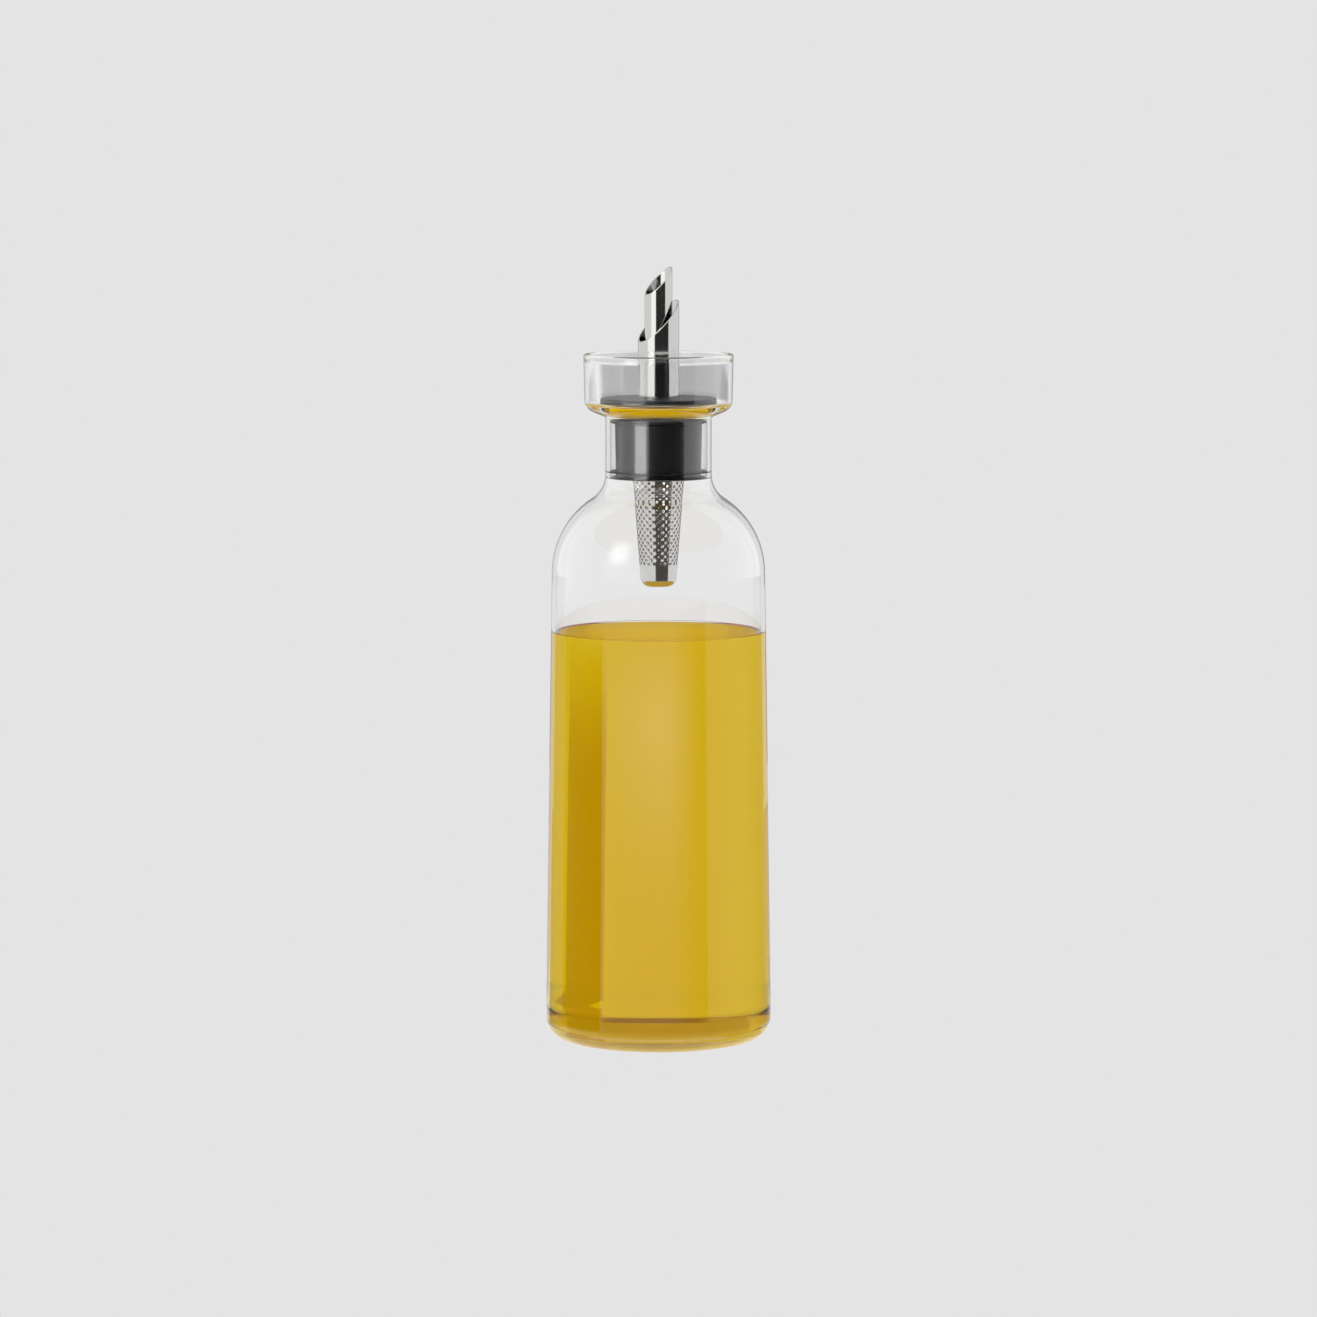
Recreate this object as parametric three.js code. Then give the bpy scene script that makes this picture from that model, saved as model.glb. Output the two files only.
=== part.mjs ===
// Oil and vinegar dispenser: a blown glass bottle with a drip cup, a silicone stopper,
// a double steel pouring spout and a perforated strainer that hangs below it.
// Millimetres, +Z up. The origin is the middle of the base, on the surface it stands on,
// and the spout's high tip points along +X.

import * as THREE from "three";
import { mergeVertices } from "three/addons/utils/BufferGeometryUtils.js";

// Bottle: body and base
const BASE_RADIUS = 37.0;
const BASE_CORNER = 6.8;
const BASE_THICKNESS = 4.0;
const BASE_INNER_CORNER = 5.0;
const BEARING_WIDTH = 6.2; // flat ring that the bottle stands on, around the pushed-up middle
const PUNT_RISE = 1.6;
const BODY_HEIGHT = 153.3; // where the shoulder springs
const BODY_TAPER = 2.2; // how much narrower the body's radius is at the shoulder
const GLASS_WALL = 1.3;

// Bottle: shoulder and neck
const SHOULDER_RADIUS = 29.1;
const NECK_FILLET = 9.1; // the neck flares into the shoulder
const NECK_RADIUS = 17.3;
const NECK_LENGTH = 18.75; // its straight stretch

// Bottle: drip cup
const CUP_LEDGE = 7.1; // how far the rim stands out from the neck
const CUP_HEIGHT = 20.5; // neck's top to the rim
const CUP_LEAN = 0.3; // the wall leans out this much on its way up
const CUP_UNDER_SLOPE = THREE.MathUtils.degToRad(22.5); // the underside rises outwards, the floor is flat
const CUP_FLOOR_THICKNESS = 2.3; // at the flat floor's outer edge, where it is thinnest
const CUP_CORNER = 4.2;
const CUP_INNER_CORNER = 1.0;
const CUP_FILLET = 1.2;
const MOUTH_ROUND = 2.5;
const RIM_ROUND = 0.8; // fire-polished rim, a little thicker than the wall
const RIM_BEAD_HEIGHT = 2.6;

// Stopper
const FLANGE_SEAT = 0.5; // how far the flange reaches past the mouth's rounding
const FLANGE_THICKNESS = 1.8;
const FLANGE_EDGE = 0.7;
const PLUG_GAP = 1.8; // between the plug's wall and the bore, bridged by the lips
const PLUG_DRAFT = 0.3;
const PLUG_END_DROP = 1.35; // the plug reaches this far below the neck's straight stretch
const LIP_DROP = 3.5; // flange's underside to the upper lip
const LIP_HEIGHT = 3.2;
const LIP_CHAMFER = 0.6;
const LAMELLA_COUNT = 2;
const LAMELLA_SPACING = 2.0;
const LAMELLA_ROOT = 0.8;
const LAMELLA_EDGE = 0.4;
const SOCKET_DEPTH = 8.5;

// Spout: outer drip sleeve and inner pouring tube, both cut on the slant
const SLEEVE_RADIUS = 6.7;
const SLEEVE_WALL = 0.5;
const SLEEVE_RISE = 26.7; // flange's underside to the middle of the slant cut
const FOOT_WIDTH = 1.7;
const FOOT_THICKNESS = 0.8;
const DRIP_GAP = 1.7; // ring-shaped way between the tubes, for drips and air
const POUR_WALL = 0.5;
const POUR_PROUD = 13.0; // the pouring tube's cut stands this far above the sleeve's
const CUT_SLOPE = Math.tan(THREE.MathUtils.degToRad(46));

// Spacers that centre the pouring tube in the sleeve
const SPACER_FEET = 3;
const SPACER_FOOT_SPREAD = THREE.MathUtils.degToRad(36);
const SPACER_RING = 0.5;
const SPACER_HEIGHT = 3.0;
const UPPER_SPACER_DROP = 8.0; // below the low side of the sleeve's cut
const LOWER_SPACER_RISE = 1.0; // above the sleeve's foot

// Strainer
const STRAINER_REACH = 35.2; // how far it hangs below the plug
const STRAINER_WALL = 0.5;
const CONE_TAPER = 2.55;
const END_CORNER = 2.7;
const PLAIN_TOP = 0.8;
const PLAIN_BAND = 3.9;
const HOLE_RADIUS = 0.72;
const HOLE_SPACING = 2.9; // along a row, at the collar
const ROW_SPACING = 1.85;

// Clearances
const SEAT_GAP = 0.3; // between pieces that rest on each other
const LIP_CLEARANCE = 0.2; // stopper's lips in the neck's bore
const RUN_CLEARANCE = 0.2; // spout turning in the stopper
const SOCKET_CLEARANCE = 0.2; // strainer's collar in its socket
const SPACER_CLEARANCE = 0.15;
const SAME_POINT = 1e-3;

// Facets
const BOTTLE_SIDES = 40;
const STOPPER_SIDES = 32;
const TUBE_SIDES = 32;
const SPACER_ARC = 3;
const LONG_ARC = 8;
const MIDDLE_ARC = 4;
const SHORT_ARC = 3;

const RIGHT = 0;
const UP = Math.PI / 2;
const LEFT = Math.PI;
const DOWN = -Math.PI / 2;

// Sizes worked out from the driving dimensions: bottle
const bodyTopRadius = BASE_RADIUS - BODY_TAPER;
const bodyCornerRadius = BASE_RADIUS - BASE_CORNER;
const puntRadius = bodyCornerRadius - BEARING_WIDTH;
const boreRadius = NECK_RADIUS - GLASS_WALL;
const shoulderCentre = new THREE.Vector2(bodyTopRadius - SHOULDER_RADIUS, BODY_HEIGHT);
const neckCentreRadius = NECK_RADIUS + NECK_FILLET;
const shoulderToNeck = SHOULDER_RADIUS + NECK_FILLET;
const shoulderAngle = Math.acos((neckCentreRadius - shoulderCentre.x) / shoulderToNeck);
const neckBottom = BODY_HEIGHT + shoulderToNeck * Math.sin(shoulderAngle);
const neckTop = neckBottom + NECK_LENGTH;
const cupRadius = NECK_RADIUS + CUP_LEDGE;
const cupFootRadius = cupRadius - CUP_LEAN;
const rimHeight = neckTop + CUP_HEIGHT;
const underTangent = Math.tan(CUP_UNDER_SLOPE);
const underSecant = 1 / Math.cos(CUP_UNDER_SLOPE);
const cupUnder = (radius) => neckTop + (radius - NECK_RADIUS) * underTangent;
const cupFloorRadius = cupFootRadius - GLASS_WALL - CUP_INNER_CORNER;
const cupFloor = cupUnder(cupFloorRadius) + CUP_FLOOR_THICKNESS;
const mouthCentreRadius = boreRadius + MOUTH_ROUND;

// Sizes worked out from the driving dimensions: pourer, measured from the flange's underside
const flangeRadius = mouthCentreRadius + FLANGE_SEAT;
const seatHeight = cupFloor + SEAT_GAP;
const plugRadius = boreRadius - PLUG_GAP;
const lipRadius = boreRadius - LIP_CLEARANCE;
const lipTop = -LIP_DROP;
const plugEnd = neckBottom - PLUG_END_DROP - seatHeight;
const socketRoof = plugEnd + SOCKET_DEPTH;
const socketRadius = SLEEVE_RADIUS + FOOT_WIDTH + RUN_CLEARANCE;
const sleeveBore = SLEEVE_RADIUS - SLEEVE_WALL;
const footTop = socketRoof - SEAT_GAP;
const sleeveEnd = footTop - FOOT_THICKNESS;
const pourRadius = sleeveBore - DRIP_GAP;
const pourRise = SLEEVE_RISE + POUR_PROUD;
const sleeveLowLip = SLEEVE_RISE - SLEEVE_RADIUS * CUT_SLOPE;
const collarRadius = socketRadius - SOCKET_CLEARANCE;
const collarTop = sleeveEnd - SEAT_GAP;
const strainerEnd = plugEnd - STRAINER_REACH;
const coneEnd = strainerEnd + END_CORNER;
const coneEndRadius = collarRadius - CONE_TAPER;
const fieldTop = plugEnd - PLAIN_TOP;
const fieldEnd = coneEnd + PLAIN_BAND;

const glass = new THREE.MeshStandardMaterial({
  name: "clear_glass",
  color: 0xedf2ef,
  roughness: 0.04,
  metalness: 0,
  transparent: true,
  opacity: 0.35,
});
const silicone = new THREE.MeshStandardMaterial({
  name: "dark_silicone",
  color: 0x3a3c3e,
  roughness: 0.55,
  metalness: 0,
});
const polishedSteel = new THREE.MeshStandardMaterial({
  name: "polished_steel",
  color: 0xc8c7c3,
  roughness: 0.14,
  metalness: 1,
});

const point = (radius, height) => new THREE.Vector2(radius, height);

// Points along an arc of a profile, both ends included.
function arc(centreRadius, centreHeight, radius, from, to, steps) {
  const points = [];
  for (let i = 0; i <= steps; i += 1) {
    const angle = from + ((to - from) * i) / steps;
    points.push(point(centreRadius + radius * Math.cos(angle), centreHeight + radius * Math.sin(angle)));
  }
  return points;
}

// Revolves a profile about Z. It runs counter-clockwise, with the radius to the right.
function revolve(points, sides) {
  const profile = points.filter((p, i) => i === 0 || p.distanceTo(points[i - 1]) > SAME_POINT);
  const geometry = new THREE.LatheGeometry(profile, sides);
  geometry.rotateX(Math.PI / 2);
  return geometry;
}

// Leans a tube's flat top face over, so that its edge rises towards +X as a slant cut's does.
function slantTop(geometry, height) {
  const position = geometry.attributes.position;
  for (let i = 0; i < position.count; i += 1) {
    if (Math.abs(position.getZ(i) - height) < SAME_POINT) {
      position.setZ(i, height + position.getX(i) * CUT_SLOPE);
    }
  }
  geometry.computeVertexNormals();
  return geometry;
}

function named(name, geometry, material) {
  const mesh = new THREE.Mesh(geometry, material);
  mesh.name = name;
  return mesh;
}

// One piece of glass: pushed-up base, tapered body, round shoulder, neck and open drip cup.
function bottleGeometry() {
  const puntCurve = (puntRadius ** 2 + PUNT_RISE ** 2) / (2 * PUNT_RISE);
  const puntEdge = Math.acos(puntRadius / puntCurve);
  const cupFilletRadius = NECK_RADIUS + CUP_FILLET;
  const cupCornerRadius = cupFootRadius - CUP_CORNER;
  const rimCentre = point(cupRadius - RIM_ROUND, rimHeight - RIM_ROUND);
  const innerBaseRadius = BASE_RADIUS - GLASS_WALL - BASE_INNER_CORNER;

  const outside = [
    ...arc(0, PUNT_RISE - puntCurve, puntCurve, UP, puntEdge, SHORT_ARC),
    ...arc(bodyCornerRadius, BASE_CORNER, BASE_CORNER, DOWN, RIGHT, MIDDLE_ARC),
    ...arc(shoulderCentre.x, shoulderCentre.y, SHOULDER_RADIUS, RIGHT, shoulderAngle, LONG_ARC),
    ...arc(neckCentreRadius, neckBottom, NECK_FILLET, LEFT + shoulderAngle, LEFT, MIDDLE_ARC),
    ...arc(
      cupFilletRadius,
      cupUnder(cupFilletRadius) - CUP_FILLET * underSecant,
      CUP_FILLET,
      LEFT,
      UP + CUP_UNDER_SLOPE,
      SHORT_ARC,
    ),
    ...arc(
      cupCornerRadius,
      cupUnder(cupCornerRadius) + CUP_CORNER * underSecant,
      CUP_CORNER,
      DOWN + CUP_UNDER_SLOPE,
      RIGHT,
      SHORT_ARC,
    ),
  ];
  const rim = arc(rimCentre.x, rimCentre.y, RIM_ROUND, RIGHT, LEFT, MIDDLE_ARC);
  const inside = [
    point(cupRadius - GLASS_WALL, rimHeight - RIM_BEAD_HEIGHT),
    ...arc(cupFloorRadius, cupFloor + CUP_INNER_CORNER, CUP_INNER_CORNER, RIGHT, DOWN, SHORT_ARC),
    ...arc(mouthCentreRadius, cupFloor - MOUTH_ROUND, MOUTH_ROUND, UP, LEFT, SHORT_ARC),
    ...arc(neckCentreRadius, neckBottom, NECK_FILLET + GLASS_WALL, LEFT, LEFT + shoulderAngle, MIDDLE_ARC),
    ...arc(
      shoulderCentre.x,
      shoulderCentre.y,
      SHOULDER_RADIUS - GLASS_WALL,
      shoulderAngle,
      RIGHT,
      LONG_ARC,
    ),
    ...arc(
      innerBaseRadius,
      BASE_THICKNESS + BASE_INNER_CORNER,
      BASE_INNER_CORNER,
      RIGHT,
      DOWN,
      SHORT_ARC,
    ),
    point(0, BASE_THICKNESS),
  ];
  return revolve([...outside, ...rim, ...inside], BOTTLE_SIDES);
}

// Moulded stopper: flange over the mouth, upper lip, plug, thin lamellae, bore and socket.
function stopperGeometry() {
  const plugEndRadius = plugRadius - PLUG_DRAFT;
  const boreForSleeve = SLEEVE_RADIUS + RUN_CLEARANCE;
  const lamellaHalf = LAMELLA_EDGE / 2;
  const lamellae = [];
  for (let i = 0; i < LAMELLA_COUNT; i += 1) {
    const root = plugEnd + i * LAMELLA_SPACING;
    const middle = root + LAMELLA_ROOT / 2;
    lamellae.push(point(plugEndRadius, root));
    lamellae.push(point(lipRadius, middle - lamellaHalf));
    lamellae.push(point(lipRadius, middle + lamellaHalf));
    lamellae.push(point(plugEndRadius, root + LAMELLA_ROOT));
  }
  const flangeEdgeRadius = flangeRadius - FLANGE_EDGE;
  const profile = [
    point(socketRadius, plugEnd),
    ...lamellae,
    point(plugRadius, lipTop - LIP_HEIGHT),
    point(lipRadius, lipTop - LIP_HEIGHT + LIP_CHAMFER),
    point(lipRadius, lipTop - LIP_CHAMFER),
    point(plugRadius, lipTop),
    point(plugRadius, 0),
    ...arc(flangeEdgeRadius, FLANGE_EDGE, FLANGE_EDGE, DOWN, RIGHT, SHORT_ARC),
    ...arc(flangeEdgeRadius, FLANGE_THICKNESS - FLANGE_EDGE, FLANGE_EDGE, RIGHT, UP, SHORT_ARC),
    point(boreForSleeve, FLANGE_THICKNESS),
    point(boreForSleeve, socketRoof),
    point(socketRadius, socketRoof),
    point(socketRadius, plugEnd),
  ];
  return revolve(profile, STOPPER_SIDES);
}

// Outer tube: a turned-out foot holds it under the socket's roof, and drips run down inside it.
function sleeveGeometry() {
  const footRadius = SLEEVE_RADIUS + FOOT_WIDTH;
  const profile = [
    point(sleeveBore, sleeveEnd),
    point(footRadius, sleeveEnd),
    point(footRadius, footTop),
    point(SLEEVE_RADIUS, footTop),
    point(SLEEVE_RADIUS, SLEEVE_RISE),
    point(sleeveBore, SLEEVE_RISE),
    point(sleeveBore, sleeveEnd),
  ];
  return slantTop(revolve(profile, TUBE_SIDES), SLEEVE_RISE);
}

function pourTubeGeometry() {
  const profile = [
    point(pourRadius - POUR_WALL, sleeveEnd),
    point(pourRadius, sleeveEnd),
    point(pourRadius, pourRise),
    point(pourRadius - POUR_WALL, pourRise),
    point(pourRadius - POUR_WALL, sleeveEnd),
  ];
  return slantTop(revolve(profile, TUBE_SIDES), pourRise);
}

// A ring round the pouring tube, with feet that reach the sleeve and leave ways between them.
function spacerGeometry() {
  const ringBore = pourRadius + SPACER_CLEARANCE;
  const ringRadius = ringBore + SPACER_RING;
  const footReach = sleeveBore - SPACER_CLEARANCE;
  const outline = new THREE.Shape();
  for (let i = 0; i < SPACER_FEET; i += 1) {
    const middle = (i * 2 * Math.PI) / SPACER_FEET;
    const next = middle + (2 * Math.PI) / SPACER_FEET - SPACER_FOOT_SPREAD / 2;
    const from = middle - SPACER_FOOT_SPREAD / 2;
    const to = middle + SPACER_FOOT_SPREAD / 2;
    outline.absarc(0, 0, footReach, from, to, false);
    outline.absarc(0, 0, ringRadius, to, next, false);
  }
  outline.closePath();
  const hole = new THREE.Path();
  for (let from = 2 * Math.PI; from > 0; from -= UP) {
    hole.absarc(0, 0, ringBore, from, from - UP, true);
  }
  outline.holes.push(hole);
  const extrusion = { depth: SPACER_HEIGHT, bevelEnabled: false, curveSegments: SPACER_ARC };
  return new THREE.ExtrudeGeometry(outline, extrusion);
}

// Perforated cone with a plain collar, a plain band and a rounded, closed end. Rows of holes
// stand half a spacing apart, and each hole is a diamond in its own diamond-shaped cell.
function strainerGeometry() {
  const columns = Math.round((2 * Math.PI * collarRadius) / HOLE_SPACING);
  const rows = Math.round((fieldTop - fieldEnd) / ROW_SPACING) - 1;
  const rowStep = (fieldTop - fieldEnd) / (rows + 1);
  const halfStep = Math.PI / columns;
  const slots = 2 * columns;
  const positions = [];

  const coneRadius = (height) => {
    const down = (plugEnd - height) / (plugEnd - coneEnd);
    return collarRadius - CONE_TAPER * Math.max(down, 0);
  };
  const at = (radius, turn, height) => {
    const angle = turn * halfStep;
    return [radius * Math.cos(angle), radius * Math.sin(angle), height];
  };
  // Corners run counter-clockwise as seen from outside; the inner skin is turned round.
  const facet = (corners, inner) => {
    const ordered = inner ? [...corners].reverse() : corners;
    for (let i = 1; i + 1 < ordered.length; i += 1) {
      positions.push(...ordered[0], ...ordered[i], ...ordered[i + 1]);
    }
  };
  const band = (upper, lower, inner) => {
    for (let k = 0; k < slots; k += 1) {
      const low = at(lower.x, k, lower.y);
      const lowNext = at(lower.x, k + 1, lower.y);
      const high = at(upper.x, k, upper.y);
      const highNext = at(upper.x, k + 1, upper.y);
      facet([low, lowNext, highNext, high], inner);
    }
  };

  const skin = (inset, inner) => {
    const onCone = (turn, height) => at(coneRadius(height) - inset, turn, height);
    const ringAt = (height) => point(coneRadius(height) - inset, height);
    const upperRings = [ringAt(collarTop), ringAt(plugEnd), ringAt(fieldTop)];
    const endRings = [
      ringAt(fieldEnd),
      ...arc(coneEndRadius - END_CORNER, coneEnd, END_CORNER - inset, RIGHT, DOWN, MIDDLE_ARC),
    ];
    for (const rings of [upperRings, endRings]) {
      for (let i = 0; i + 1 < rings.length; i += 1) {
        band(rings[i], rings[i + 1], inner);
      }
    }
    const last = endRings[endRings.length - 1];
    for (let k = 0; k < slots; k += 1) {
      facet([[0, 0, last.y], at(last.x, k + 1, last.y), at(last.x, k, last.y)], inner);
    }
    // Plain triangles close the zigzag edges of the field of cells.
    const firstRow = fieldTop - rowStep;
    const lastRow = fieldEnd + rowStep;
    const lastShift = (rows - 1) % 2;
    for (let i = 0; i < columns; i += 1) {
      const top = 2 * i + 1;
      const notchTop = onCone(top, firstRow);
      const rimTop = onCone(top, fieldTop);
      facet([notchTop, rimTop, onCone(top - 1, fieldTop)], inner);
      facet([notchTop, onCone(top + 1, fieldTop), rimTop], inner);
      const bottom = top + lastShift;
      const notchEnd = onCone(bottom, lastRow);
      const rimEnd = onCone(bottom, fieldEnd);
      facet([notchEnd, onCone(bottom - 1, fieldEnd), rimEnd], inner);
      facet([notchEnd, rimEnd, onCone(bottom + 1, fieldEnd)], inner);
    }
  };

  const holeCorners = (turn, height, inset) => {
    const reach = HOLE_RADIUS / coneRadius(height) / halfStep;
    const corners = [
      [turn + reach, height],
      [turn, height + HOLE_RADIUS],
      [turn - reach, height],
      [turn, height - HOLE_RADIUS],
    ];
    return corners.map(([t, h]) => at(coneRadius(h) - inset, t, h));
  };
  const cellCorners = (turn, height, inset) => {
    const corners = [
      [turn + 1, height],
      [turn, height + rowStep],
      [turn - 1, height],
      [turn, height - rowStep],
    ];
    return corners.map(([t, h]) => at(coneRadius(h) - inset, t, h));
  };
  const cell = (turn, height) => {
    const outerHole = holeCorners(turn, height, 0);
    const innerHole = holeCorners(turn, height, STRAINER_WALL);
    const outerCell = cellCorners(turn, height, 0);
    const innerCell = cellCorners(turn, height, STRAINER_WALL);
    for (let a = 0; a < outerHole.length; a += 1) {
      const b = (a + 1) % outerHole.length;
      facet([outerHole[a], outerCell[a], outerCell[b], outerHole[b]], false);
      facet([innerHole[a], innerCell[a], innerCell[b], innerHole[b]], true);
      facet([outerHole[a], outerHole[b], innerHole[b], innerHole[a]], false);
    }
  };

  skin(0, false);
  skin(STRAINER_WALL, true);
  for (let row = 0; row < rows; row += 1) {
    const height = fieldTop - (row + 1) * rowStep;
    for (let i = 0; i < columns; i += 1) {
      cell(2 * i + (row % 2), height);
    }
  }
  for (let k = 0; k < slots; k += 1) {
    const inset = collarRadius - STRAINER_WALL;
    const outer = at(collarRadius, k, collarTop);
    const outerNext = at(collarRadius, k + 1, collarTop);
    facet([outer, outerNext, at(inset, k + 1, collarTop), at(inset, k, collarTop)], false);
  }

  const soup = new THREE.BufferGeometry();
  soup.setAttribute("position", new THREE.Float32BufferAttribute(positions, 3));
  const geometry = mergeVertices(soup, SAME_POINT);
  geometry.computeVertexNormals();
  return geometry;
}

function spacer(name, height) {
  const mesh = named(name, spacerGeometry(), polishedSteel);
  mesh.position.z = height;
  return mesh;
}

const spout = new THREE.Group();
spout.add(named("drip_sleeve", sleeveGeometry(), polishedSteel));
spout.add(named("pour_tube", pourTubeGeometry(), polishedSteel));
spout.add(spacer("upper_spacer", sleeveLowLip - UPPER_SPACER_DROP - SPACER_HEIGHT));
spout.add(spacer("lower_spacer", sleeveEnd + LOWER_SPACER_RISE));

const pourer = new THREE.Group();
pourer.position.z = seatHeight;
pourer.add(named("silicone_stopper", stopperGeometry(), silicone));
pourer.add(named("strainer_basket", strainerGeometry(), polishedSteel));
pourer.add(spout);

const dispenser = new THREE.Group();
dispenser.add(named("glass_bottle", bottleGeometry(), glass));
dispenser.add(pourer);

export default dispenser;
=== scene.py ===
"""Looks of an oil and vinegar dispenser: glass bottle with oil, silicone stopper, steel spout and strainer.

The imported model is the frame, in metres and +Z up. Every operator makes one piece, or a group of like
pieces, in the place of the solid that it stands for. The stage operator makes the floor, light and camera.
"""

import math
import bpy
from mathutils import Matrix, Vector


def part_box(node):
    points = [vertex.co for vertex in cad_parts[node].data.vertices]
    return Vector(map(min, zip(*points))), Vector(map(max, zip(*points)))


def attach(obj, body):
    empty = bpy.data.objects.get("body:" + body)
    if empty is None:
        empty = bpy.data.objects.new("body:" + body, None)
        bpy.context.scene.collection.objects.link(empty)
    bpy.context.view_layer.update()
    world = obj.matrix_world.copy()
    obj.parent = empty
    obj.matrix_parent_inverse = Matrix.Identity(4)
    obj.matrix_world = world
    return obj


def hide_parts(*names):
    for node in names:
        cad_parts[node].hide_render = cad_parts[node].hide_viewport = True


bl_info = {
    "name": "Oil and Vinegar Dispenser",
    "version": (1, 0, 0),
    "blender": (4, 5, 0),
    "location": "View3D > Sidebar > Dispenser",
    "description": "Builds the glass, oil, stopper, spout and strainer of a table dispenser",
    "category": "Add Mesh",
}

import bmesh
import bpy
from bpy.props import FloatProperty, FloatVectorProperty, IntProperty, PointerProperty
from mathutils import Vector

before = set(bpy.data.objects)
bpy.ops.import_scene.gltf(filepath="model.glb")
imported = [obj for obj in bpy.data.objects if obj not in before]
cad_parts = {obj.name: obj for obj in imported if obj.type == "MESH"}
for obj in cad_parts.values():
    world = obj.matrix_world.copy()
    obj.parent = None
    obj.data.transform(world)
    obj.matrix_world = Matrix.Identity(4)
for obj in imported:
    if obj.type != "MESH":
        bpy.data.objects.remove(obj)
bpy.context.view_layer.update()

BOTTLE_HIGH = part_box("glass_bottle")[1]
STOPPER_LOW, STOPPER_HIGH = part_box("silicone_stopper")
SLEEVE_LOW, SLEEVE_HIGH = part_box("drip_sleeve")
TUBE_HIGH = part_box("pour_tube")[1]
STRAINER_LOW, STRAINER_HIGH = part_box("strainer_basket")

MM = 0.001
RIGHT = 0.0
UP = math.pi / 2
LEFT = math.pi
DOWN = -math.pi / 2
TURN = 2 * math.pi

# Fineness of the meshes
ARC_STEP = math.radians(5)
EDGE_STEP = math.radians(18)
ARC_LEAST = 3
HOLD = 0.2 * MM
HELD_LEAST = 4 * HOLD
SAME_POINT = 0.001 * MM
GLASS_SIDES = 192
STOPPER_SIDES = 128
TUBE_SIDES = 112


# Sizes and colours


def length(name, default, description):
    return FloatProperty(name=name, description=description, default=default, unit="LENGTH", precision=5)


def mm(name, millimetres, description):
    return length(name, millimetres * MM, description)


def angle(name, degrees, description):
    return FloatProperty(name=name, description=description, default=math.radians(degrees), subtype="ANGLE")


def colour(name, default, description):
    return FloatVectorProperty(
        name=name, description=description, default=default, subtype="COLOR", min=0, max=1
    )


def amount(name, default, description):
    return FloatProperty(name=name, description=description, default=default)


class BottleSizes(bpy.types.PropertyGroup):
    radius: length("Base radius", BOTTLE_HIGH.x, "Radius of the body just above its bottom corner")
    height: length("Height", BOTTLE_HIGH.z, "Height of the drip cup's rim")
    corner: mm("Bottom corner", 6.8, "Outer rounding from the base to the body")
    floor: mm("Floor", 4.0, "Height of the inner floor")
    inner_corner: mm("Inner corner", 5.0, "Inner rounding from the floor to the wall")
    bearing: mm("Bearing ring", 6.2, "Width of the flat ring that the bottle stands on")
    punt: mm("Punt", 1.6, "Rise of the pushed-up middle of the base")
    body: mm("Body height", 153.3, "Height where the shoulder springs")
    taper: mm("Taper", 2.2, "How much narrower the radius is at the shoulder")
    wall: mm("Wall", 1.3, "Thickness of the glass")
    shoulder: mm("Shoulder", 29.1, "Radius of the round shoulder")
    neck_fillet: mm("Neck fillet", 9.1, "Rounding from the shoulder to the neck")
    neck_radius: mm("Neck radius", 17.3, "Outer radius of the neck")
    neck_length: mm("Neck length", 18.75, "Straight length of the neck")
    cup_ledge: mm("Cup ledge", 7.1, "How far the rim stands out from the neck")
    cup_lean: mm("Cup lean", 0.3, "How far the cup's wall leans out on its way up")
    cup_slope: angle("Cup slope", 22.5, "Slope of the cup's underside")
    cup_floor: mm("Cup floor", 2.3, "Thickness of the flat floor at its outer edge")
    cup_corner: mm("Cup corner", 4.2, "Outer rounding from the cup's underside to its wall")
    cup_inner_corner: mm("Cup inner corner", 1.0, "Inner rounding from the floor to the wall")
    cup_fillet: mm("Cup fillet", 1.2, "Rounding from the neck to the cup's floor")
    mouth_round: mm("Mouth rounding", 2.5, "Rounding from the cup's floor into the bore")
    rim_round: mm("Rim rounding", 0.8, "Radius of the fire-polished rim")
    rim_bead: mm("Rim bead", 2.6, "Height of the thicker rim")
    tint: colour("Glass tint", (0.80, 0.86, 0.84), "Colour that a thick edge of the glass takes")
    tint_density: amount("Tint density", 14.0, "How strongly thick glass takes its colour, per metre")


class OilSizes(bpy.types.PropertyGroup):
    level: mm("Level", 133.8, "Height of the oil's surface")
    creep: mm("Creep", 0.6, "How far the surface climbs at the glass")
    creep_reach: mm("Creep reach", 1.0, "How far from the glass the climb dies away")
    overlap: mm("Overlap", 0.06, "How far the oil reaches into the glass, to leave no air between")
    tint: colour("Oil colour", (0.9685, 0.8967, 0.0), "Colour that the oil lets through")
    tint_density: amount("Oil density", 92.0, "How strongly the oil takes its colour, per metre")
    # The level surface is a diffuse skin in the surface colour with a painted glow: surface glow is emission
    # in that colour, standing in for light gathered in the oil
    surface: colour("Surface colour", (1.0, 0.60, 0.0), "Colour of the light that the surface gives back")
    surface_share: amount("Surface share", 0.9, "Share of the level surface that gives light back")
    painted_surface_glow: amount("Surface glow", 0.14, "Light that is gathered in the oil and leaves at its surface")
    film_gap: mm("Film gap", 0.08, "Gap from the run-back oil to the stopper")
    film_depth: mm("Film depth", 0.8, "How far down into the mouth the run-back oil reaches")
    # Painted glow of the run-back oil: emission in the surface colour, standing in for the light that it
    # gathers
    painted_film_glow: amount("Film glow", 0.15, "Light that is gathered in the run-back oil")


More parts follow.
